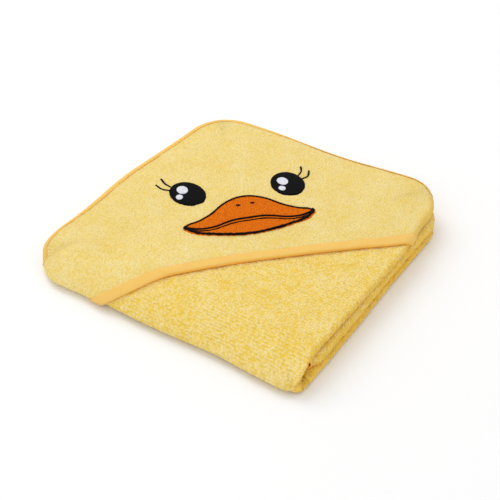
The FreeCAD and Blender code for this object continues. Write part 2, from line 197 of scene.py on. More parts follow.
def rounded(x, y, half, front, back, radii):
    """Plan corners drawn in from square to round, rings about each corner kept evenly apart."""
    x, y = x.copy(), y.copy()
    for name, radius in radii.items():
        sx = -1 if "left" in name else 1
        sy = 1 if "back" in name else -1
        cx, cy = sx * (half - radius), (back - radius) if sy > 0 else (front + radius)
        a, b = (x - cx) * sx, (y - cy) * sy
        inside = (a > 0) & (b > 0)
        reach = np.maximum(a, b)
        scale = np.where(inside, reach / np.maximum(np.hypot(a, b), 1e-9), 1.0)
        x, y = cx + sx * a * scale, cy + sy * b * scale
    return x, y


def ripple(x, y):
    """Slow unevenness of laid cloth, about -1 to 1."""
    return (0.45 * np.sin(x / 31.0 + 0.8 * np.sin(y / 47.0)) * np.cos(y / 38.0 - 0.6)
            + 0.35 * np.sin((x + 1.7 * y) / 53.0 + 1.1) + 0.2 * np.cos((2.1 * x - y) / 41.0))


def hood_cover(x, q):
    """1 where the hood's lower wing lies below fold A, and 0 clear of it."""
    return smooth((q + np.minimum(x, 131.0) - 199.0) / 11.0)


def tip_cover(x, q):
    """1 where the hood lies outside the wrap and below fold B."""
    return smooth((q + HEM_LINE - x) / ROOT2 / 9.0)


def laid(x, q, h):
    """Strip position x, run q and height h above the strip's inner face, as packet (x, y, z)."""
    x, q, h = (np.asarray(value, float) for value in np.broadcast_arrays(x, q, h))
    grow = BASE_RIGHT / RIGHT
    turn_share = np.clip((WRAP_Q - q) / WRAP_RUN, 0, 1)
    wide = x * (1 + (grow - 1) * smooth(turn_share))
    half = RIGHT * (1 + (grow - 1) * smooth(turn_share))
    layer = np.clip((h - STRIP) / (HOOD_TOP - TERRY_TOP), 0, 2)
    # fold A
    y_a, z_a = q, TOP_Z + h
    # front wrap
    turn = np.interp(turn_share, TURN_RUNS, TURNS)
    cover = tip_cover(x, q)
    outer = wrap_skin(HOOD_TOP - TERRY_TOP, WING * cover, turn)
    face = wrap_skin(0.0, 0.0, turn)
    full = wrap_skin(HOOD_TOP - TERRY_TOP, WING, turn)
    inner = wrap_inside(turn)
    share = np.clip(h / STRIP, None, 1)
    low = inner + (outer - inner) * share
    high = full + (face - full) * layer
    y_w, z_w = np.where(h > STRIP, high, low)
    # fold B
    y_b = BASE_END + (B_Q - q)
    z_low = WING * cover + (STRIP - np.minimum(h, STRIP)) * (1 - WING * cover / STRIP)
    z_b = np.where(h > STRIP, WING - WING * layer, z_low)
    # back wrap and fold C
    angle = np.clip((BACK_Q - q) / BACK_RUN, 0, 1) * math.pi
    radius = h + (INNER_Z - STRIP) / 2
    y_k = WRAP_BACK + radius * np.sin(angle)
    z_k = (INNER_Z + STRIP) / 2 - radius * np.cos(angle)
    y_c, z_c = WRAP_BACK - (C_Q - q), INNER_Z + h
    part = np.select([q >= WRAP_Q, q >= B_Q, q >= BACK_Q, q >= C_Q], [0, 1, 2, 3], 4)
    y = np.choose(part, [y_a, y_w, y_b, y_k, y_c])
    z = np.choose(part, [z_a, z_w, z_b, z_k, z_c])
    # corners in plan
    x_t, y_t = rounded(wide, y, half, FRONT, BACK, TOP_RADII)
    x_b, y_bb = rounded(wide, y, half, FRONT, BACK, BASE_RADII)
    x_i, y_i = rounded(wide, y, half, INNER_END, BACK, TUCKED_RADII)
    x = np.where(part == 0, x_t, np.where(part == 4, x_i, x_b))
    y = np.where(part == 0, y_t, np.where(part == 4, y_i, y_bb))
    # soft unevenness of the moving fold, fading out down the wrap
    free = np.where(part == 0, 1.0, np.where(part == 1, 1 - smooth(turn_share * 1.3), 0.0))
    up = np.clip(h / 10.0, 0, 1.1)
    edge = np.minimum(np.minimum(RIGHT - x, x - LEFT), BACK - y)
    crown = 1.6 * smooth(edge / 34.0) - 0.8
    z = z + free * up * (crown + 0.8 * ripple(x, y))
    return drawn(x, y, z, part, turn_share)


def drawn(x, y, z, part, turn_share):
    """The packet's edges drawn in and out of true, as cloth folded by hand lies."""
    top = np.where(part == 0, 1.0, np.where(part == 1, 1 - smooth(turn_share / 0.45), 0.0))
    left = smooth((LEFT + 75.0 - x) / 75.0)
    right = smooth((x - RIGHT + 60.0) / 60.0)
    x_in = 7.0 * smooth((10.0 - y) / 100.0) + 3.5 * smooth((y + 30.0) / 120.0)
    dx = top * left * x_in
    dx = dx - top * right * 6.5 * smooth((y - 30.0) / 60.0)
    dx = dx - (1 - top) * right * 3.9 * smooth((y + 105.0) / 170.0)
    bow = 2.8 * np.exp(-((x - 8.0) / 55.0) ** 2) - 1.2 - 2.3 * smooth((x - 20.0) / 80.0)
    dy = -top * bow * smooth((y - 40.0) / 90.0)
    reach = 2.9 - 1.6 * np.exp(-((x + 72.0) / 30.0) ** 2) - 2.6 * np.exp(-((x - 58.0) / 34.0) ** 2)
    dy = dy - (1 - top) * smooth((TOP_END - y) / 28.0) * reach * smooth((x - LEFT - 10.0) / 30.0)
    return np.stack([x + dx, y + dy, z], axis=-1)


def round_loop(angle, h, cover):
    """(x, height) round the right loop at a layer's height h on top."""
    layer = np.clip((h - STRIP) / (HOOD_TOP - TERRY_TOP), 0, 2)
    under = np.where(h > STRIP, WING - WING * layer,
                     WING * cover + (STRIP - h) * (1 - WING * cover / STRIP))
    return TURN + (h - under) / 2 * np.sin(angle), (h + under) / 2 + (h - under) / 2 * np.cos(angle)


def towel_at(s, q, out):
    """The towel's own terry: s across the strip, q along it, out from the cloth's middle."""
    s, q, out = (np.asarray(value, float) for value in np.broadcast_arrays(s, q, out))
    in_a = q >= WRAP_Q
    flat_x = np.where(s < TURN, s, np.where(s < C_START - SMALL_RUN, TURN - (s - B_START),
                                            SMALL_TURN + (s - C_START)))
    cover = np.where(in_a, hood_cover(flat_x, q), 0.0)
    lift = WING * cover
    squeeze = 1 - lift / STRIP
    high, low, middle = STRIP - CLOTH / 2, CLOTH / 2, STRIP / 2
    angle = np.clip((s - TURN) / LOOP_RUN, 0, 1) * math.pi
    x_loop, h_loop = round_loop(angle, high + out, cover)
    small = np.clip((s - (C_START - SMALL_RUN)) / SMALL_RUN, 0, 1) * math.pi
    x_small = SMALL_TURN - (SMALL_MID + out) * np.sin(small)
    h_small = lift + (low + SMALL_MID - (SMALL_MID + out) * np.cos(small)) * squeeze
    part = np.select([s < TURN, s < B_START, s < C_START - SMALL_RUN, s < C_START], [0, 1, 2, 3], 4)
    h_b = lift + (low - out) * squeeze
    h_c = lift + (middle + out) * squeeze
    x = np.choose(part, [s, x_loop, flat_x, x_small, flat_x])
    h = np.choose(part, [high + out, h_loop, h_b, h_small, h_c])
    return laid(x, q, h)


def hem_bow(s, q):
    """How far the hood's hem is pulled out of straight, towards the front and its foot."""
    along, back = s + q, (HEM_LINE - s + q) / ROOT2
    near = 1 - smooth((back - 10.0) / 34.0)
    return 9.6 * smooth((-10.0 - along) / 170.0) * near * smooth((s - LEFT) / 30.0)


def hood_at(s, q, h):
    """The hood and its tapes: as towel_at, with h the height above fold A's lower face."""
    s, q, h = (np.asarray(value, float) for value in np.broadcast_arrays(s, q, h))
    bow = hem_bow(s, q) / ROOT2
    s, q = s + bow, q - bow
    angle = np.clip((s - TURN) / HOOD_TURN_RUN, 0, 1) * math.pi
    x_loop, h_loop = round_loop(angle, h, 1.0)
    turned = TURN + HOOD_TURN_RUN
    x = np.where(s < TURN, s, np.where(s < turned, x_loop, TURN - (s - TURN - HOOD_TURN_RUN)))
    h_under = round_loop(np.full_like(h, math.pi), h, 1.0)[1]
    height = np.where(s < TURN, h, np.where(s < turned, h_loop, h_under))
    return laid(x, q, height)


def steps(*stops):
    """Grid lines through (value, spacing) stops: each spacing holds up to the next value."""
    lines = []
    for (start, pitch), (end, _) in zip(stops, stops[1:]):
        count = max(1, round(abs(end - start) / pitch))
        lines += [start + (end - start) * number / count for number in range(count)]
    return np.array(lines + [stops[-1][0]])


RIM = (0.0, 0.15, 0.5, 1.1, 1.8)                # lines next to a free edge, from the edge
RIM_WIDTH = 2.2
SECTION_STEP = 1.3                              # pattern width of one step round a swept section
FOLD_SHADE_COLOUR, UNDER_SHADOW_COLOUR = (248, 190, 78), (246, 150, 12)    # painted shade on the tape round its fold, and a painted shadow line below it
PAST_TURN_SHADE = (255, 238, 196)                   # painted shade multiplied onto all terry past the right turn, the packet's side loops and lower layers, hidden layers too


def with_rims(lines, first=True, last=True):
    """Closer lines next to a free edge, where the cloth rounds over."""
    lines = list(lines)
    sign = 1 if lines[-1] > lines[0] else -1
    if first:
        inside = [line for line in lines if sign * (line - lines[0]) > RIM_WIDTH]
        lines = [lines[0] + sign * step for step in RIM] + inside
    if last:
        inside = [line for line in lines if sign * (lines[-1] - line) > RIM_WIDTH]
        lines = inside + [lines[-1] - sign * step for step in RIM[::-1]]
    return np.array(lines)


def flat_panel(s_lines, q_lines, cut=None):
    """A flat pattern piece as points (s, q) and faces; cut holds distances behind the hem line."""
    across, along = len(s_lines), len(q_lines)
    points = np.array([(s, q, 0.0) for q in q_lines for s in s_lines])
    faces = [(j * across + i, j * across + i + 1, (j + 1) * across + i + 1, (j + 1) * across + i)
             for j in range(along - 1) for i in range(across - 1)]
    if cut is None:
        return points[:, :2], faces
    sheet = bmesh.new()
    made = [sheet.verts.new(point) for point in points]
    for face in faces:
        sheet.faces.new([made[index] for index in face])
    out = Vector((1, -1, 0)).normalized()
    for number, offset in enumerate(cut):
        bmesh.ops.bisect_plane(
            sheet, geom=sheet.verts[:] + sheet.edges[:] + sheet.faces[:], dist=1e-5,
            plane_co=Vector((HEM_LINE, 0, 0)) - out * offset, plane_no=out, clear_outer=number == 0)
    bmesh.ops.remove_doubles(sheet, verts=sheet.verts[:], dist=0.02)
    sheet.verts.index_update()
    points = np.array([vert.co[:2] for vert in sheet.verts])
    faces = [tuple(vert.index for vert in face.verts) for face in sheet.faces]
    sheet.free()
    return points, faces


def edge_points(faces):
    """Indices of the points on a panel's border."""
    uses = {}
    for face in faces:
        for a, b in zip(face, face[1:] + face[:1]):
            key = (min(a, b), max(a, b))
            uses[key] = uses.get(key, 0) + 1
    return {index for key, count in uses.items() if count == 1 for index in key}


def new_piece(name, points, faces, maps, finish):
    """A mesh piece at the origin from points in millimetres, with its flat pattern as UVs."""
    mesh = bpy.data.meshes.new(name)
    mesh.from_pydata([tuple(point) for point in np.asarray(points) * MM], [], faces)
    mesh.validate()
    layer = mesh.uv_layers.new(name="Cloth")
    corners = np.empty(len(mesh.loops), np.int64)
    mesh.loops.foreach_get("vertex_index", corners)
    layer.data.foreach_set("uv", (np.asarray(maps)[corners] * MM).astype(np.float32).ravel())
    piece = bpy.data.objects.new(name, mesh)
    bpy.context.scene.collection.objects.link(piece)
    volume = bmesh.new()
    volume.from_mesh(mesh)
    if volume.calc_volume(signed=True) < 0:
        bmesh.ops.reverse_faces(volume, faces=volume.faces[:])
        volume.to_mesh(mesh)
    volume.free()
    mesh.shade_smooth()
    mesh.materials.append(finish)
    return piece


def cloth_shell(name, panel, place, thickness, finish, pile=None, free=None):
    """Closed sheet: the panel's two faces meet on its border, rounded over within half a cloth."""
    flat, faces = panel
    border = edge_points(faces)
    gap = free(flat[:, 0], flat[:, 1]) if free else np.full(len(flat), 99.0)
    reach = thickness / 2
    swell = np.sqrt(np.clip(1 - (1 - np.clip(gap / reach, 0, 1)) ** 2, 0, 1)) * thickness / 2
    loops = pile(flat[:, 0], flat[:, 1]) * np.clip(gap / 1.5, 0, 1) if pile else 0.0
    inner = [index for index in range(len(flat)) if index not in border]
    lower = np.arange(len(flat))
    lower[inner] = len(flat) + np.arange(len(inner))
    hold = np.ones(len(flat))
    hold[list(border)] = 0.0
    top = place(flat[:, 0], flat[:, 1], (swell + loops) * hold)
    bottom = place(flat[inner, 0], flat[inner, 1], -swell[inner])
    points = np.vstack([top, bottom])
    maps = np.vstack([flat, flat[inner]])
    every = list(faces) + [tuple(int(lower[index]) for index in face[::-1]) for face in faces]
    return new_piece(name, points, every, maps, finish)


def swept(name, section, lines, place, finish):
    """A closed section of (back from the edge, height) points carried along an edge, and its two ends."""
    section = np.asarray(section, float)
    count = len(section)
    rows = [place(np.full(count, line), section[:, 0], section[:, 1]) for line in lines]
    round_section = np.arange(count) * SECTION_STEP
    maps = np.vstack([np.stack([np.full(count, line), round_section], 1) for line in lines])
    faces = [(r * count + k, r * count + (k + 1) % count,
              (r + 1) * count + (k + 1) % count, (r + 1) * count + k)
             for r in range(len(lines) - 1) for k in range(count)]
    faces += [tuple(range(count))[::-1], tuple((len(lines) - 1) * count + k for k in range(count))]
    return new_piece(name, np.vstack(rows), faces, maps, finish)


def folded_tape(width, low, high, crown=0.0, skip=0.0):
    """Section of a tape folded over an edge: out along the top, round, and back below."""
    radius = (high - low) / 2 - TAPE / 2
    middle = (high + low) / 2
    path = []
    for d in np.linspace(width, radius + TAPE / 2, 9):
        share = (width - d) / (width - radius)
        path.append((d, middle + radius + crown * math.sin(math.pi * min(share, 1.0)) ** 0.7
                     if share > 0 else middle + radius))
    for turn in np.linspace(0, math.pi, 9)[1:-1]:
        path.append((TAPE / 2 + radius * (1 - math.sin(turn)), middle + radius * math.cos(turn)))
    for d in np.linspace(radius + TAPE / 2, width - skip, 6):
        path.append((d, middle - radius))
    path = np.array(path)
    along = np.gradient(path, axis=0)
    along /= np.linalg.norm(along, axis=1)[:, None]
    side = np.stack([along[:, 1], -along[:, 0]], 1) * TAPE / 2
    return np.vstack([path + side, (path - side)[::-1]])


def grain(s, q, pitch, seed):
    """Lattice noise from -1 to 1 at about pitch mm, the same for the same place."""
    def corner(i, j):
        value = np.sin(i * 127.1 + j * 311.7 + seed * 74.7) * 43758.5453
        return (value - np.floor(value)) * 2 - 1
    u, v = s / pitch, q / pitch
    i, j = np.floor(u), np.floor(v)
    a, b = smooth(u - i), smooth(v - j)
    return ((corner(i, j) * (1 - a) + corner(i + 1, j) * a) * (1 - b)
            + (corner(i, j + 1) * (1 - a) + corner(i + 1, j + 1) * a) * b)


def towel_pile(s, q):
    """Uncut loops of the towel's terry, standing in uneven rows."""
    rows = np.sin((q + 0.9 * grain(s, q, 9.0, 3)) * math.tau / 3.1)
    return 0.30 * grain(s, q, 1.7, 1) + 0.16 * rows + 0.30 * grain(s, q, 6.0, 2)


def hood_pile(s, q):
    """The hood's shorter pile."""
    return 0.22 * grain(s, q, 1.7, 5) + 0.24 * grain(s, q, 7.0, 6)


THREAD_PITCH = 0.85                             # spacing of the embroidery's runs of thread
SATIN_TURN = math.radians(-45)                  # way the face's stitches run


class Socket:
    """A shader socket that Python's operators turn into Math nodes."""

    def __init__(self, shader, link):
        self.shader, self.link = shader, link

    def math(self, operation, other=None):
        values = {0: self} if other is None else {0: self, 1: other}
        return self.shader.node("ShaderNodeMath", dict(operation=operation), values)

    def __add__(self, other):
        return self.math("ADD", other)

    __radd__ = __add__

    def __sub__(self, other):
        return self.math("SUBTRACT", other)

    def __mul__(self, other):
        return self.math("MULTIPLY", other)

    def wave(self):
        return self.math("SINE")

    def clamp(self):
        return self.shader.node("ShaderNodeClamp", {}, {0: self})


class Shader:
    """One material's node tree."""

    def __init__(self, name):
        self.material = bpy.data.materials.new(name)
        self.material.use_nodes = True
        self.tree = self.material.node_tree
        self.surface = self.tree.nodes["Principled BSDF"]
        self.places = self.tree.nodes.new("ShaderNodeTexCoord")

    def node(self, kind, settings, inputs, output=0):
        node = self.tree.nodes.new(kind)
        for name, value in settings.items():
            setattr(node, name, value)
        for name, value in inputs.items():
            self.feed(node.inputs[name], value)
        return Socket(self, node.outputs[output])

    def feed(self, target, value):
        if isinstance(value, Socket):
            self.tree.links.new(value.link, target)
        else:
            target.default_value = value

    def cloth(self):
        return Socket(self, self.places.outputs["UV"])

    def place(self):
        return Socket(self, self.places.outputs["Object"])

    def mapped(self, vector, scale, turn=0.0):
        return self.node("ShaderNodeMapping", {}, {
            "Vector": vector, "Scale": scale, "Rotation": (0.0, 0.0, turn)})

    def noise(self, vector, scale, detail=2.0, roughness=0.55, stretch=(1, 1, 1)):
        return self.node("ShaderNodeTexNoise", {}, {
            "Vector": self.mapped(vector, stretch), "Scale": scale, "Detail": detail,
            "Roughness": roughness})

    def cells(self, vector, scale, stretch):
        return self.node("ShaderNodeTexVoronoi", {}, {
            "Vector": self.mapped(vector, stretch), "Scale": scale}, "Distance")

    def axis(self, vector, number):
        return self.node("ShaderNodeSeparateXYZ", {}, {0: vector}, number)

    def mix(self, share, first, second, blend="MIX"):
        return self.node("ShaderNodeMix", dict(data_type="RGBA", blend_type=blend), {
            0: share, 6: first, 7: second}, 2)

    def bump(self, height, distance, strength):
        return self.node("ShaderNodeBump", {}, {
            "Height": height, "Distance": distance, "Strength": strength})

    def set(self, **constants):
        for name, value in constants.items():
            self.feed(self.surface.inputs[name.replace("_", " ")], value)
        return self.material


def linear(colour):
    """An sRGB colour in 0 to 255, as linear RGBA."""
    channels = [value / 255 for value in colour]
    return tuple(v / 12.92 if v <= 0.04045 else ((v + 0.055) / 1.055) ** 2.4 for v in channels) + (1.0,)


def terry_finish(name, light, deep, row_share, loop_size):
    """Terry: pale loop tips over a deeper ground, in rows that fade in and out; the tips and gaps are partly
    painted highlight and painted shade of the pile, and painted shade deepens all terry past the turn.
    """
    shader = Shader(name)
    cloth = shader.cloth()
    loops = shader.cells(cloth, 1 / (loop_size * MM), stretch=(1.0, 0.85, 1.0))
    fine = shader.noise(cloth, 1 / (1.3 * MM), 3.0, 0.7)
    patches = shader.noise(cloth, 1 / (30 * MM), 3.0, 0.6)
    streaks = shader.noise(cloth, 1 / (9 * MM), 2.0, 0.6, stretch=(0.35, 1.3, 1.0))
    bend = shader.noise(cloth, 1 / (7 * MM), 1.0)
    rows = (shader.axis(cloth, 1) * (math.tau / (2.9 * MM)) + bend * 7.0).wave() * 0.5
    row_fade = shader.noise(cloth, 1 / (45 * MM), 1.0) * 2.6 - 0.8
    # pale loop tips over deeper gaps: partly painted highlight on the tips and painted shade between the
    # loops and rows, partly the yarn's own uneven tone
    ground = (loops - 0.45) * 1.3 + (fine - 0.5) * 1.4
    depth = ground + rows * row_fade.clamp() * row_share
    # painted shade: terry past the right turn in the flat pattern, the packet's side loops and lower layers,
    # is made deeper and darker
    fold = ((shader.axis(cloth, 0) - TURN * MM) * (1 / (5 * MM))).clamp()
    share = (depth + (patches - 0.5) * 1.1 + (streaks - 0.5) * 0.3 + 0.5 + fold * 0.4).clamp()
    colour = shader.mix(share, linear(light), linear(deep))
    height = fine * 0.8 - loops * 0.9 - rows * row_share * 0.8
    # painted shade multiplied onto the terry past the turn
    colour = shader.mix(fold * 0.7, colour, linear(PAST_TURN_SHADE), "MULTIPLY")
    return shader.set(Base_Color=colour, Roughness=0.95, Normal=shader.bump(height, 1.0 * MM, 0.9),
                      Sheen_Weight=0.2, Sheen_Roughness=0.5, Sheen_Tint=(1.0, 0.9, 0.6, 1.0),
                      Specular_IOR_Level=0.1)


def tape_finish(name, light, deep):
    """Woven cotton tape: fine threads across its length, with painted shade round its fold and a painted
    shadow line under it.
    """
    shader = Shader(name)
    cloth = shader.cloth()
    threads = shader.noise(cloth, 1 / (0.9 * MM), 2.0, 0.6, stretch=(1.0, 0.3, 1.0))
    weave = (shader.axis(cloth, 0) * (math.tau / (1.0 * MM))).wave() * 0.5 + 0.5
    patches = shader.noise(cloth, 1 / (18 * MM), 2.0)
    share = (threads * 0.6 + weave * 0.2 + (patches - 0.5) * 0.6 - 0.05).clamp()
    colour = shader.mix(share, linear(light), linear(deep))
    step = shader.axis(cloth, 1) * (1 / (SECTION_STEP * MM))
    # painted shade on the rounded front of the tape's fold
    colour = shader.mix(((step - 8.5) * 0.4).clamp() * 0.7, colour, linear(FOLD_SHADE_COLOUR))
    # painted shadow line along the underside of the fold, where the tape meets the cloth below
    colour = shader.mix(((step - 12.2) * 0.6).clamp(), colour, linear(UNDER_SHADOW_COLOUR))
    height = threads * 0.7 + weave * 0.5
    return shader.set(Base_Color=colour, Roughness=0.72, Normal=shader.bump(height, 0.25 * MM, 0.8),
                      Specular_IOR_Level=0.12)


def thread_finish(name, light, deep, turn, gloss):
    """Satin-stitched thread: close parallel runs with a soft shine."""
    shader = Shader(name)
    place = shader.mapped(shader.place(), (1.0, 1.0, 1.0), turn)
    wander = shader.noise(place, 1 / (3.5 * MM), 2.0)
    runs = (shader.axis(place, 0) * (math.tau / (THREAD_PITCH * MM)) + wander * 5.0).wave() * 0.5 + 0.5
    breaks = shader.noise(place, 1 / (1.4 * MM), 2.0, 0.65, stretch=(1.6, 0.5, 1.0))
    share = ((breaks - 0.5) * 2.6 + (runs - 0.5) * 0.5 + 0.45).clamp()
    colour = shader.mix(share, linear(light), linear(deep))
    height = runs * 0.6 + breaks * 0.7
    return shader.set(Base_Color=colour, Roughness=gloss + breaks * 0.2,
                      Normal=shader.bump(height, 0.35 * MM, 0.8), Specular_IOR_Level=0.03)


def floor_finish(shade):
    """A plain pale floor, very slightly uneven."""
    shader = Shader("studio_floor")
    tone = shader.noise(shader.place(), 3.0, 2.0)
    darker = shade * 0.985
    colour = shader.mix(tone, (shade, shade, shade, 1.0), (darker, darker, darker, 1.0))
    return shader.set(Base_Color=colour, Roughness=0.8, Specular_IOR_Level=0.1)


FINISHES = {}


def finish(name):
    """Each finish is made once, from the panel's colours."""
    if name not in FINISHES:
        cloth = bpy.context.scene.towel_cloth
        thread = bpy.context.scene.towel_thread
        as_bytes = lambda colour: tuple(round(255 * channel) for channel in colour)
        makers = {
            "terry": lambda: terry_finish("towel_terry", as_bytes(cloth.terry_light),
                                          as_bytes(cloth.terry_deep), 0.5, 1.9),
            "hood_terry": lambda: terry_finish("hood_terry", as_bytes(cloth.hood_light),
                                               as_bytes(cloth.hood_deep), 0.12, 1.5),
            "tape": lambda: tape_finish("binding_tape", as_bytes(cloth.tape_light),
                                        as_bytes(cloth.tape_deep)),
            "sewing": lambda: thread_finish("sewing_thread", as_bytes(cloth.tape_deep),
                                            (214, 150, 40), 0.4, 0.5),
            "orange": lambda: thread_finish("orange_thread", as_bytes(thread.orange_light),
                                            as_bytes(thread.orange_deep), SATIN_TURN, 0.45),
            "black": lambda: thread_finish("black_thread", as_bytes(thread.black), (8, 8, 10),
                                           SATIN_TURN, 0.42),
            "white": lambda: thread_finish("white_thread", as_bytes(thread.white), (205, 206, 222),
                                           SATIN_TURN, 0.45),
        }
        FINISHES[name] = makers[name]()
    return FINISHES[name]


def colour_setting(name, about, colour):
    return bpy.props.FloatVectorProperty(
        name=name, description=about, subtype="COLOR_GAMMA", size=3, min=0, max=1,
        default=tuple(value / 255 for value in colour))


class TowelClothSettings(bpy.types.PropertyGroup):
    loop_pitch: bpy.props.FloatProperty(
        name="Loop pitch", description="Spacing of the points that shape the terry's pile", unit="LENGTH",
        default=1.6 * MM, min=1.0 * MM, max=6 * MM)
    hem_width: bpy.props.FloatProperty(
        name="Hem tape", description="Width of the tape along the hood's hem", unit="LENGTH",
        default=9.5 * MM, min=5 * MM, max=14 * MM)
    edge_width: bpy.props.FloatProperty(
        name="Edge tape", description="Width of the tape on the towel's edge", unit="LENGTH",
        default=6.0 * MM, min=3 * MM, max=9 * MM)
    terry_light: colour_setting("Terry light", "Colour of the towel's loop tips", (253, 230, 162))
    terry_deep: colour_setting("Terry deep", "Colour between the towel's loops", (244, 206, 82))
    hood_light: colour_setting("Hood light", "Colour of the hood's loop tips", (249, 229, 166))
    hood_deep: colour_setting("Hood deep", "Colour between the hood's loops", (241, 209, 106))
    tape_light: colour_setting("Tape light", "Colour of the tape's raised threads", (248, 207, 120))
    tape_deep: colour_setting("Tape deep", "Colour between the tape's threads", (240, 184, 76))


class TowelThreadSettings(bpy.types.PropertyGroup):
    orange_light: colour_setting("Bill light", "Colour of the bill's raised thread", (238, 124, 12))
    orange_deep: colour_setting("Bill deep", "Colour between the bill's threads", (197, 82, 3))
    black: colour_setting("Black thread", "Colour of the eyes and outlines", (14, 13, 15))
    white: colour_setting("White thread", "Colour of the eyes' highlights", (246, 246, 250))


class TowelStageSettings(bpy.types.PropertyGroup):
    floor_shade: bpy.props.FloatProperty(
        name="Floor shade", description="Brightness of the floor", default=0.97, min=0.2, max=1.0)
    key_power: bpy.props.FloatProperty(
        name="Key light", description="Power of the large soft light", subtype="POWER",
        default=8.4, min=0.0, max=100.0)
    fill_power: bpy.props.FloatProperty(
        name="Fill light", description="Power of the fill light", subtype="POWER",
        default=2.3, min=0.0, max=100.0)


class TOWEL_OT_top_terry(bpy.types.Operator):
    """Model the towel's moving fold and the part of it that wraps round the front"""
    bl_idname = "towel.top_terry"
    bl_label = "Top fold and front wrap"

    def execute(self, context):
        pitch = context.scene.towel_cloth.loop_pitch / MM
        s_lines = steps((LEFT + TERRY_INSET, 5.0), (-64.0, pitch), (TURN, LOOP_RUN / 9), (B_START, 5.5),
                        (C_START - SMALL_RUN, SMALL_RUN / 6), (C_START, 6.0), (STRIP_END, 1.0))
        q_lines = steps((BACK - TERRY_INSET, 5.0), (72.0, pitch), (WRAP_Q, pitch * 0.9), (B_Q, 1.0))
        panel = flat_panel(with_rims(s_lines), with_rims(q_lines))

        def gap(s, q):
            return np.minimum(np.minimum(s - LEFT - TERRY_INSET, STRIP_END - s), BACK - TERRY_INSET - q)

        piece = cloth_shell("top_towel", panel, towel_at, CLOTH, finish("terry"), towel_pile, gap)
        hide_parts("top_terry", "front_wrap_terry")
        return {"FINISHED"}


class TOWEL_OT_base_terry(bpy.types.Operator):
    """Model the towel's two lower folds and the back wrap that joins them"""
    bl_idname = "towel.base_terry"
    bl_label = "Lower folds"

    def execute(self, context):
        pitch = context.scene.towel_cloth.loop_pitch / MM * 1.6
        s_lines = steps((LEFT + TERRY_INSET, 5.5), (TURN - 8, 2.0), (TURN, LOOP_RUN / 7), (B_START, 6.0),
                        (C_START - SMALL_RUN, SMALL_RUN / 6), (C_START, 6.5), (STRIP_END, 1.0))
        q_lines = steps((B_Q - 0.05, pitch), (BACK_Q, BACK_RUN / 12), (C_Q, pitch),
                        (END_Q + TERRY_INSET, 1.0))
        panel = flat_panel(with_rims(s_lines), with_rims(q_lines, first=False))

        def gap(s, q):
            return np.minimum(np.minimum(s - LEFT - TERRY_INSET, STRIP_END - s), q - END_Q - TERRY_INSET)

        piece = cloth_shell("lower_towel", panel, towel_at, CLOTH, finish("terry"), towel_pile, gap)
        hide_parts("base_terry", "inner_terry", "back_wrap_terry")
        return {"FINISHED"}


HOOD_MIDDLE = STRIP + 0.1 + HOOD_CLOTH / 2


def hood_sheet(s, q, out):
    """The hood's own cloth: out from its middle."""
    return hood_at(s, q, HOOD_MIDDLE + out)


class TOWEL_OT_hood(bpy.types.Operator):
    """Model the hood's triangle of terry, round the front and the right loop, and its tucked point"""
    bl_idname = "towel.hood"
    bl_label = "Hood"

    def execute(self, context):
        pitch = context.scene.towel_cloth.loop_pitch / MM
        s_lines = steps((LEFT + TERRY_INSET, pitch), (TURN, 1.2), (TURN + HOOD_TURN_RUN, 4.0),
                        (BACK + HEM_LINE + 1, 1.0))
        q_lines = steps((BACK - TERRY_INSET, pitch), (WRAP_Q, pitch * 0.9), (B_Q, 1.0))
        cut = (1.0, 1.15, 1.5, 2.1, 2.8)
        panel = flat_panel(with_rims(s_lines, last=False), with_rims(q_lines, last=False), cut)

        def gap(s, q):
            return np.minimum(np.minimum(s - LEFT - TERRY_INSET, BACK - TERRY_INSET - q),
                              (q + HEM_LINE - s) / ROOT2 - 1.0)

        piece = cloth_shell("hood", panel, hood_sheet, HOOD_CLOTH, finish("hood_terry"), hood_pile, gap)
        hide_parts("hood_panel", "hood_wrap")
        tip_s = steps((LEFT + TERRY_INSET, 3.0), (B_Q + HEM_LINE + 1, 1.0))
        tip_q = steps((B_Q - 0.05, 3.0), (LEFT - HEM_LINE + 2.5, 1.0))
        tip = cloth_shell("hood_point", flat_panel(with_rims(tip_s, last=False), tip_q, cut),
                          hood_sheet, HOOD_CLOTH, finish("hood_terry"), None, gap)
        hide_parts("hood_base_wing")
        return {"FINISHED"}


def hem_at(along, back, h):
    """A place on the hood's hem: along it, back from its free edge, at height h."""
    s = (along + HEM_LINE) / 2 - back / ROOT2
    q = (along - HEM_LINE) / 2 + back / ROOT2
    return hood_at(s, q, h)


class TOWEL_OT_hem_tape(bpy.types.Operator):
    """Model the tape folded over the hood's hem, and its end below the packet"""
    bl_idname = "towel.hem_tape"
    bl_label = "Hem tape"

    def execute(self, context):
        width = context.scene.towel_cloth.hem_width / MM
        section = folded_tape(width, STRIP + 0.05, HOOD_TOP - TOP_Z + 0.55, crown=0.45, skip=3.0)
        bottom, top = 2 * B_Q + HEM_LINE, 2 * BACK - 10.0 + HEM_LINE
        lines = steps((bottom, 1.9), (2 * (TURN - HEM_LINE) + HEM_LINE - 24, 1.2),
                      (2 * (TURN + HOOD_TURN_RUN) + 10 - HEM_LINE, 3.5), (top, 1.0))
        piece = swept("hem_tape", section, lines, hem_at, finish("tape"))
        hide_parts("hem_binding", "hem_wrap")
        lines = steps((bottom - 0.1, 3.0), (2 * LEFT - HEM_LINE + 10.0, 1.0))
        tip = swept("hem_tape_point", section, lines, hem_at, finish("tape"))
        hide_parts("hem_base_wing")
        return {"FINISHED"}


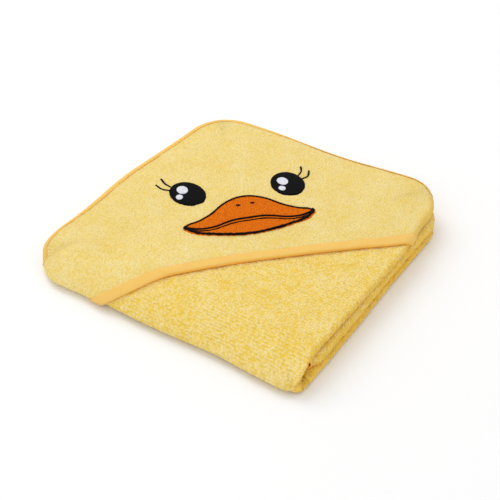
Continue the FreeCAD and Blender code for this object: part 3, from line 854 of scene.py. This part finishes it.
def edge_at(line, back, h):
    """The towel's outer edge: line runs up the left edge (below 0) and along the back (above 0)."""
    corner = TOP_RADII["back_left"]
    reach = corner - back
    rolled = 0.42 * smooth((-40.0 - BACK - line) / 60.0) + 0.72 * smooth((line - 15.0) / 110.0)
    back = back * (1 - rolled)
    s_left, q_back = LEFT + back, BACK - back
    share = np.clip(1 - np.abs(line) / corner, 0, 1)
    s = np.where(line < 0, s_left, np.where(line < corner, LEFT + corner - reach * share, LEFT + line))
    q = np.where(line >= 0, q_back, np.where(line > -corner, BACK - corner + reach * share, BACK + line))
    return hood_at(s, q, h)


def towel_edge(side):
    """A place finder for one cut edge of the towel: side is 'left', 'inner', 'end' or 'back'."""
    def place(line, back, out):
        if side == "left":
            return towel_at(LEFT + back, line, out)
        if side == "inner":
            return towel_at(STRIP_END - back, line, out)
        if side == "back":
            return towel_at(line, BACK - back, out)
        return towel_at(line, END_Q + back, out)
    return place


class TOWEL_OT_edge_tape(bpy.types.Operator):
    """Model the tape on the towel's cut edges, in every layer of the packet"""
    bl_idname = "towel.edge_tape"
    bl_label = "Edge tape"

    def execute(self, context):
        width = context.scene.towel_cloth.edge_width / MM
        tape = finish("tape")
        section = folded_tape(width, STRIP - CLOTH + 0.1, HOOD_TOP - TOP_Z + 0.5, crown=0.1, skip=1.0)
        lines = steps((B_Q - BACK, 2.2), (-40.0, 2.0), (40.0, 2.2), (TURN - LEFT, 1.2),
                      (TURN - LEFT + 14.0, 1.0))
        piece = swept("edge_tape", section, lines, edge_at, tape)
        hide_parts("top_edge_binding", "front_wrap_binding")
        half = CLOTH / 2 + 0.1
        thin = folded_tape(width, -half, half)
        rows = {
            "back_end_tape": ("back", steps((TURN + 2, 1.0), (B_START, 4.0), (C_START - SMALL_RUN, 0.7),
                                            (C_START, 4.0), (STRIP_END, 1.0)), "back_end_binding"),
            "top_tucked_tape": ("inner", steps((BACK - 2, 4.0), (WRAP_Q, 3.0), (B_Q, 1.0)),
                                "top_tucked_binding"),
            "base_tucked_tape": ("inner", steps((B_Q - 0.1, 4.0), (BACK_Q, 1.5), (C_Q - 1, 1.0)),
                                 "base_tucked_binding"),
            "inner_tucked_tape": ("inner", steps((C_Q - 1.1, 4.0), (END_Q + 2, 1.0)),
                                  "inner_tucked_binding"),
            "base_edge_tape": ("left", steps((B_Q - 0.1, 3.0), (BACK_Q, 1.0)), "base_left_binding"),
            "back_wrap_tape": ("left", steps((BACK_Q, 1.5), (C_Q, 1.0)), "back_wrap_binding"),
            "inner_edge_tape": ("left", steps((C_Q, 3.0), (END_Q + 2, 1.0)), "inner_left_binding"),
            "front_end_tape": ("end", steps((LEFT + 2, 4.0), (TURN, 1.0), (B_START, 4.0),
                                            (C_START - SMALL_RUN, 0.7), (C_START, 4.0), (STRIP_END - 2, 1.0)),
                               "front_end_binding"),
        }
        for name, (side, lines, node) in rows.items():
            piece = swept(name, thin, lines, towel_edge(side), tape)
            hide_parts(node)
        return {"FINISHED"}


STITCH_WIDTH, STITCH_HEIGHT = 0.75, 0.7


def stitch_row(name, run, place, node, length=3.0, pitch=4.6):
    """Separate rounded stitches in a row, each shaped once and copied along the seam."""
    bpy.ops.object.select_all(action="DESELECT")
    bpy.ops.mesh.primitive_cube_add(size=1.0, location=(0, 0, 0))
    stitch = bpy.context.object
    stitch.dimensions = (length, STITCH_WIDTH, STITCH_HEIGHT)
    bpy.ops.object.transform_apply(location=False, rotation=False, scale=True)
    bevel = stitch.modifiers.new("Round", "BEVEL")
    bevel.width, bevel.segments = 0.26, 2
    bpy.ops.object.modifier_apply(modifier="Round")
    points = np.array([vert.co[:] for vert in stitch.data.vertices])
    faces = [tuple(face.vertices) for face in stitch.data.polygons]
    bpy.data.objects.remove(stitch)
    every, joined, maps = [], [], []
    starts = np.arange(run[0] + pitch / 2, run[1] - pitch / 2, pitch)
    for number, middle in enumerate(starts):
        sway = 0.12 * math.sin(number * 2.4)
        sag = 0.18 * (1 - (2 * points[:, 0] / length) ** 2)
        placed = place(middle + points[:, 0], points[:, 1] + sway, points[:, 2] + sag - 0.12)
        joined += [tuple(index + number * len(points) for index in face) for face in faces]
        every.append(placed)
        maps.append(points[:, :2])
    piece = new_piece(name, np.vstack(every), joined, np.vstack(maps), finish("sewing"))
    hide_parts(node)
    return piece


class TOWEL_OT_stitching(bpy.types.Operator):
    """Model the visible stitches along the hem tape and the edge tape"""
    bl_idname = "towel.stitching"
    bl_label = "Stitching"

    def execute(self, context):
        cloth = context.scene.towel_cloth
        hem, edge = cloth.hem_width / MM, cloth.edge_width / MM
        face = HOOD_TOP - TOP_Z

        def on_hem(line, across, up):
            return hem_at(line, hem - 1.1 + across, face + 0.42 + up)

        def on_edge(line, across, up):
            return edge_at(line, edge - 1.0 + across, face + 0.40 + up)

        stitch_row("hem_stitches", (2 * WRAP_Q + HEM_LINE + 2, 2 * TURN - HEM_LINE - 8), on_hem,
                   "hem_stitching", length=4.2, pitch=6.2)
        stitch_row("left_edge_stitches", (WRAP_Q - BACK + 1, -41.0), on_edge, "left_edge_stitching")
        stitch_row("back_edge_stitches", (41.0, TURN - LEFT - 18.0), on_edge, "back_edge_stitching")
        return {"FINISHED"}


# The face, in millimetres: across from its middle line, and down from the hood's corner.
# Each bill curve is drawn from the middle to the right tip, and whole_curve adds the left half
BILL_TOP = [(0, 160), (10, 162), (21, 169), (32, 180), (44, 188), (53, 191), (57, 195)]
BILL_BOTTOM = [(0, 215), (18, 213), (34, 209), (48, 204), (57, 195)]
MOUTH = [(0, 193), (11, 193), (20, 195), (31, 199), (42, 200), (50, 198), (56, 195)]
LIP = [(0, 197), (11, 197), (20, 199), (33, 203), (42, 203), (50, 201), (55, 198)]
BILL_MIDDLE, BILL_LEAN = 0.5, 0.033             # offset across, and rise for each mm to the right
BILL_SPAN = 116                                 # about its width: sets how the fill rounds off at its tips
LASH_WIDTH = 1.5
LASHES = {"left": {"upper": [(-60, 132), (-65, 125), (-68, 116)],
                   "lower": [(-61, 137), (-69, 133), (-74, 125)]},
          "right": {"upper": [(57, 135), (62, 128), (64, 119)],
                    "lower": [(58, 141), (66, 137), (70, 127)]}}
EYES = {"left": (-47, 144.5, -21), "right": (45, 146, 2)}
EYE_SIZE = (16, 20.5)
GLINTS = {"left": {"large_glint": (-4, -5.5), "small_glint": (-8, 5)},
          "right": {"large_glint": (-4, -3.5), "small_glint": (-7, 8)}}
GLINT_SIZES = {"large_glint": (5.5, 7), "small_glint": (3.5, 4)}
NOSTRILS = {"left": (-6, 173), "right": (7, 172)}
NOSTRIL_TILTS = {"left": 18, "right": 4}
NOSTRIL_SIZE = (2.5, 1.5)
GLINT_TILT = -6
FACE_LEVEL = HOOD_TOP - TOP_Z
CORNER = (LEFT + 0.4, BACK - 0.1)


def face_at(across, down, up):
    """A place on the embroidered face, up mm above the hood."""
    x = CORNER[0] + (across + down) / ROOT2
    y = CORNER[1] + (across - down) / ROOT2
    return hood_at(x, y, FACE_LEVEL + up)


def curve_points(points, count):
    """Even points along a smooth curve through a few."""
    points = np.array(points, float)
    ends = np.vstack([2 * points[0] - points[1], points, 2 * points[-1] - points[-2]])
    fine = []
    for number in range(len(points) - 1):
        a, b, c, d = ends[number:number + 4]
        for t in np.linspace(0, 1, 12, endpoint=False):
            fine.append(0.5 * ((2 * b) + (c - a) * t + (2 * a - 5 * b + 4 * c - d) * t ** 2
                               + (3 * b - a - 3 * c + d) * t ** 3))
    fine = np.array(fine + [points[-1]])
    run = np.concatenate([[0], np.cumsum(np.hypot(*np.diff(fine, axis=0).T))])
    even = np.linspace(0, run[-1], count)
    return np.stack([np.interp(even, run, fine[:, 0]), np.interp(even, run, fine[:, 1])], 1)


def start_grid(columns, rows):
    """A grid primitive to shape into a piece of embroidery: its corners and faces."""
    bpy.ops.object.select_all(action="DESELECT")
    bpy.ops.mesh.primitive_grid_add(x_subdivisions=columns, y_subdivisions=rows, size=2.0)
    grid = bpy.context.object
    points = (np.array([vert.co[:2] for vert in grid.data.vertices]) + 1) / 2
    faces = [tuple(face.vertices) for face in grid.data.polygons]
    bpy.data.objects.remove(grid)
    return points, faces


def stitched(name, grid, shape, height, finish_name, base=0.0, rough=0.0, dome=0.0):
    """Embroidery that swells from its edges: grid is shaped to (across, down) and laid on the face."""
    share, faces = grid
    border = edge_points(faces)
    across, down, inside = shape(share[:, 0], share[:, 1])
    swell = np.sqrt(np.clip(1 - (1 - np.clip(inside / 1.3, 0, 1)) ** 2, 0, 1))
    up = base + height * swell + dome * smooth(inside / 9.0)
    up = up + rough * grain(across * 1.1, down * 0.5, 1.5, 8) * swell
    inner = [index for index in range(len(share)) if index not in border]
    lower = np.arange(len(share))
    lower[inner] = len(share) + np.arange(len(inner))
    up[list(border)] = base - 0.25
    top = face_at(across, down, up)
    bottom = face_at(across[inner], down[inner], np.full(len(inner), base - 0.5))
    flat = np.stack([across, down], 1)
    every = list(faces) + [tuple(int(lower[index]) for index in face[::-1]) for face in faces]
    piece = new_piece(name, np.vstack([top, bottom]), every, np.vstack([flat, flat[inner]]),
                      finish(finish_name))
    return piece


def between(upper, lower):
    """Shape for the area between two curves, with its distance to the nearest side."""
    def shape(u, v):
        count = len(upper)
        at = u * (count - 1)
        index = np.arange(count)
        top = np.stack([np.interp(at, index, upper[:, 0]), np.interp(at, index, upper[:, 1])])
        low = np.stack([np.interp(at, index, lower[:, 0]), np.interp(at, index, lower[:, 1])])
        point = low + (top - low) * v
        span = np.hypot(*(top - low))
        return point[0], point[1], np.minimum(np.minimum(v, 1 - v) * span, np.minimum(u, 1 - u) * BILL_SPAN)
    return shape


def oval(across, down, half_across, half_down, turn):
    """Shape for an oval, turned by degrees on the face."""
    cos, sin = math.cos(math.radians(turn)), math.sin(math.radians(turn))

    def shape(u, v):
        a, b = u * 2 - 1, v * 2 - 1
        reach = np.maximum(np.abs(a), np.abs(b))
        scale = reach / np.maximum(np.hypot(a, b), 1e-9)
        a, b = a * scale, b * scale
        x, y = a * half_across, -b * half_down
        inside = (1 - np.hypot(a, b)) * min(half_across, half_down)
        return across + x * cos - y * sin, down + x * sin + y * cos, inside
    return shape


def band(points, width, count, ragged, flare=0.0, seed=1, coarse=1.0):
    """Shape for a band of stitches along a curve, its sides a little uneven."""
    line = curve_points(points, count)
    along = np.gradient(line, axis=0)
    along /= np.linalg.norm(along, axis=1)[:, None]
    side = np.stack([-along[:, 1], along[:, 0]], 1)
    index = np.arange(count)

    def shape(u, v):
        at = u * (count - 1)
        half = width / 2 + ragged * grain(at, np.sign(v - 0.5) * 40 + 7.0, coarse, seed)
        half = half * (1 + flare * smooth(u))
        offset = (v * 2 - 1) * half
        x = np.interp(at, index, line[:, 0]) + np.interp(at, index, side[:, 0]) * offset
        y = np.interp(at, index, line[:, 1]) + np.interp(at, index, side[:, 1]) * offset
        return x, y, np.minimum(v, 1 - v) * 2 * half
    return shape


class TOWEL_OT_eyes(bpy.types.Operator):
    """Model the embroidered eyes, their highlights and their lashes"""
    bl_idname = "towel.eyes"
    bl_label = "Eyes and lashes"

    def execute(self, context):
        disc, spot = start_grid(26, 26), start_grid(12, 12)
        strand = start_grid(20, 4)
        for side, (across, down, turn) in EYES.items():
            eye = stitched("eye_patch_" + side, disc, oval(across, down, *EYE_SIZE, turn), 0.75,
                           "black", rough=0.08, dome=0.35)
            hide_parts("eye_" + side)
            for glint, (da, dd) in GLINTS[side].items():
                piece = stitched("eye_%s_%s_patch" % (side, glint), spot,
                                 oval(across + da, down + dd, *GLINT_SIZES[glint], GLINT_TILT), 0.55,
                                 "white", base=0.95, rough=0.05)
                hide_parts("eye_%s_%s" % (side, glint))
            for lash, points in LASHES[side].items():
                piece = stitched("lash_%s_%s_stitch" % (side, lash), strand,
                                 band(points, LASH_WIDTH, 24, 0.1, flare=0.4, seed=3), 0.7,
                                 "black", base=0.25)
                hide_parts("lash_%s_%s" % (side, lash))
        return {"FINISHED"}


def whole_curve(half):
    """Both halves of a bill curve, from its right half, leaning up to the right."""
    both = [(-across, down) for across, down in half[:0:-1]] + half
    return [(BILL_MIDDLE + across, down - BILL_LEAN * across) for across, down in both]


def spread(curve, out, down):
    """A bill curve carried past the outline's ends, and moved down or up, for the fill below it."""
    return curve * np.array([1 + out / np.abs(curve[:, 0]).max(), 1]) + np.array([0, down])


class TOWEL_OT_bill(bpy.types.Operator):
    """Model the embroidered bill: two filled halves, their outlines, the mouth and the nostrils"""
    bl_idname = "towel.bill"
    bl_label = "Bill"

    def execute(self, context):
        fill = start_grid(92, 26)
        bill_top, bill_bottom, mouth_line, lip_line = map(whole_curve, (BILL_TOP, BILL_BOTTOM, MOUTH, LIP))
        top, mouth, bottom = (curve_points(points, 120) for points in (bill_top, mouth_line, bill_bottom))
        middle = spread(mouth, 2.4, 0.0)
        upper = stitched("bill_upper_fill", fill, between(spread(top, 2.4, -1.0), middle), 0.8, "orange",
                         rough=0.12, dome=0.3)
        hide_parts("bill_upper")
        lower = stitched("bill_lower_fill", fill, between(middle, spread(bottom, 2.4, 1.6)), 0.8,
                         "orange", rough=0.12, dome=0.2)
        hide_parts("bill_lower")
        long_band = start_grid(180, 5)
        rounded_bottom = [(-55, 195)] + bill_bottom + [(56, 190)]
        rows = [("bill_top_line", bill_top, 2.0, 0.15, "bill_top_outline", 2),
                ("bill_bottom_line", rounded_bottom, 3.0, 0.55, "bill_bottom_outline", 4),
                ("mouth_band", mouth_line, 2.1, 0.12, "mouth_line", 5),
                ("lip_band", lip_line, 1.35, 0.25, "lip_line", 6)]
        for name, points, width, ragged, node, seed in rows:
            piece = stitched(name, long_band, band(points, width, 200, ragged, seed=seed, coarse=2.5), 0.6,
                             "black", base=1.1)
            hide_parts(node)
        spot = start_grid(10, 10)
        for side, place in NOSTRILS.items():
            shape = oval(*place, *NOSTRIL_SIZE, NOSTRIL_TILTS[side])
            piece = stitched("nostril_%s_patch" % side, spot, shape, 0.45,
                             "black", base=1.1)
            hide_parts("nostril_" + side)
        return {"FINISHED"}


SKY_STRENGTH = 0.81
VIEW_TARGET = (20.6, -25.3, 20.0)               # in millimetres
VIEW_ANGLES = (34.1, 37.7)                      # azimuth and elevation, in degrees
VIEW_DISTANCE = 0.8509                          # in metres


class TOWEL_OT_stage(bpy.types.Operator):
    """Lay the floor, and set the soft lights and the camera"""
    bl_idname = "towel.stage"
    bl_label = "Stage"

    def execute(self, context):
        settings = context.scene.towel_stage
        bpy.ops.object.select_all(action="DESELECT")
        bpy.ops.mesh.primitive_plane_add(size=8.0, location=(0, 0, -0.0006))
        floor = context.object
        floor.name = "studio_floor"
        bpy.ops.object.transform_apply(location=True)
        floor.data.materials.append(floor_finish(settings.floor_shade))
        floor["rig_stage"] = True
        context.scene.view_settings.view_transform = "Standard"
        world = bpy.data.worlds.new("studio")
        context.scene.world = world
        world.use_nodes = True
        background = world.node_tree.nodes["Background"]
        background.inputs["Color"].default_value = (1.0, 1.0, 1.0, 1.0)
        background.inputs["Strength"].default_value = SKY_STRENGTH
        lights = [("key", (-0.9, 0.35, 1.35), 1.3, settings.key_power),
                  ("fill", (0.2, -1.3, 1.1), 1.2, settings.fill_power)]
        for name, place, size, power in lights:
            lamp = bpy.data.lights.new(name, "AREA")
            lamp.shape, lamp.size, lamp.energy = "DISK", size, power
            light = bpy.data.objects.new(name, lamp)
            context.scene.collection.objects.link(light)
            light.location = place
            light.rotation_euler = (Vector((0, 0, 0.01)) - Vector(place)).to_track_quat("-Z", "Y").to_euler()
        camera = bpy.data.objects.new("camera", bpy.data.cameras.new("camera"))
        context.scene.collection.objects.link(camera)
        target = Vector(VIEW_TARGET) * MM
        azimuth, elevation = (math.radians(angle) for angle in VIEW_ANGLES)
        away = Vector((math.sin(azimuth) * math.cos(elevation),
                       -math.cos(azimuth) * math.cos(elevation), math.sin(elevation)))
        camera.location = target + away * VIEW_DISTANCE
        camera.rotation_euler = (-away).to_track_quat("-Z", "Y").to_euler()
        camera.data.lens, camera.data.sensor_width = 72.0, 36.0
        camera.data.clip_start = 0.01
        context.scene.camera = camera
        return {"FINISHED"}


SEWING_AND_FACE = ("hem_stitches", "left_edge_stitches", "back_edge_stitches", "eye_", "lash_",
                   "nostril_", "bill_", "mouth_", "lip_")
TOP_RIDERS = ("back_end_tape",) + SEWING_AND_FACE
LOWER_TAPES = ("base_tucked_tape", "inner_tucked_tape", "base_edge_tape", "back_wrap_tape",
               "inner_edge_tape", "front_end_tape")
BASE_RIDERS = ("lower_towel", "hood_point", "hem_tape_point") + LOWER_TAPES
BENDING = ("top_towel", "hood", "hem_tape", "edge_tape", "top_tucked_tape")


class TOWEL_OT_joins(bpy.types.Operator):
    """Join the rigid pieces to the fold that they move with, and bake the bending pieces in place"""
    bl_idname = "towel.joins"
    bl_label = "Joins and cloth sizes"

    def execute(self, context):
        shown = {piece.name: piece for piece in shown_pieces() if "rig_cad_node" not in piece}
        for name, piece in shown.items():
            if name in BENDING:
                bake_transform(piece)
            elif name in BASE_RIDERS:
                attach(piece, "folded_base")
            elif name.startswith(TOP_RIDERS):
                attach(piece, "top_fold")
        across = (STRIP_END - LEFT) * MM
        (BACK - B_Q) * MM
        (B_Q - END_Q) * MM
        leg = (BACK + HEM_LINE - LEFT) * MM
        cut_off = (leg - (BACK - B_Q) * MM) ** 2 / 2
        (BACK - B_Q) * MM
        leg * leg / 2 - cut_off
        point_leg = leg - (BACK - B_Q) * MM
        point_leg ** 2 / 2
        return {"FINISHED"}


class TOWEL_PT_panel(bpy.types.Panel):
    """Sizes, colours and steps of the folded towel"""
    bl_label = "Folded towel"
    bl_idname = "TOWEL_PT_panel"
    bl_space_type = "VIEW_3D"
    bl_region_type = "UI"
    bl_category = "Towel"

    def draw(self, context):
        for name in ("towel_cloth", "towel_thread", "towel_stage"):
            group = getattr(context.scene, name)
            column = self.layout.column()
            for key in group.bl_rna.properties.keys():
                if key not in ("rna_type", "name"):
                    column.prop(group, key)
        for operator in OPERATORS:
            self.layout.operator(operator.bl_idname)


OPERATORS = (TOWEL_OT_stage, TOWEL_OT_top_terry, TOWEL_OT_base_terry, TOWEL_OT_hood,
             TOWEL_OT_hem_tape, TOWEL_OT_edge_tape, TOWEL_OT_stitching, TOWEL_OT_eyes,
             TOWEL_OT_bill, TOWEL_OT_joins)
SETTINGS = {"towel_cloth": TowelClothSettings, "towel_thread": TowelThreadSettings,
            "towel_stage": TowelStageSettings}


def register():
    for kind in (*SETTINGS.values(), *OPERATORS, TOWEL_PT_panel):
        bpy.utils.register_class(kind)
    for name, kind in SETTINGS.items():
        setattr(bpy.types.Scene, name, bpy.props.PointerProperty(type=kind))


def unregister():
    for name in SETTINGS:
        delattr(bpy.types.Scene, name)
    for kind in (TOWEL_PT_panel, *reversed(OPERATORS), *reversed(list(SETTINGS.values()))):
        bpy.utils.unregister_class(kind)


def main():
    register()
    for operator in OPERATORS:
        group, name = operator.bl_idname.split(".")
        getattr(getattr(bpy.ops, group), name)()


if __name__ == "__main__":
    main()
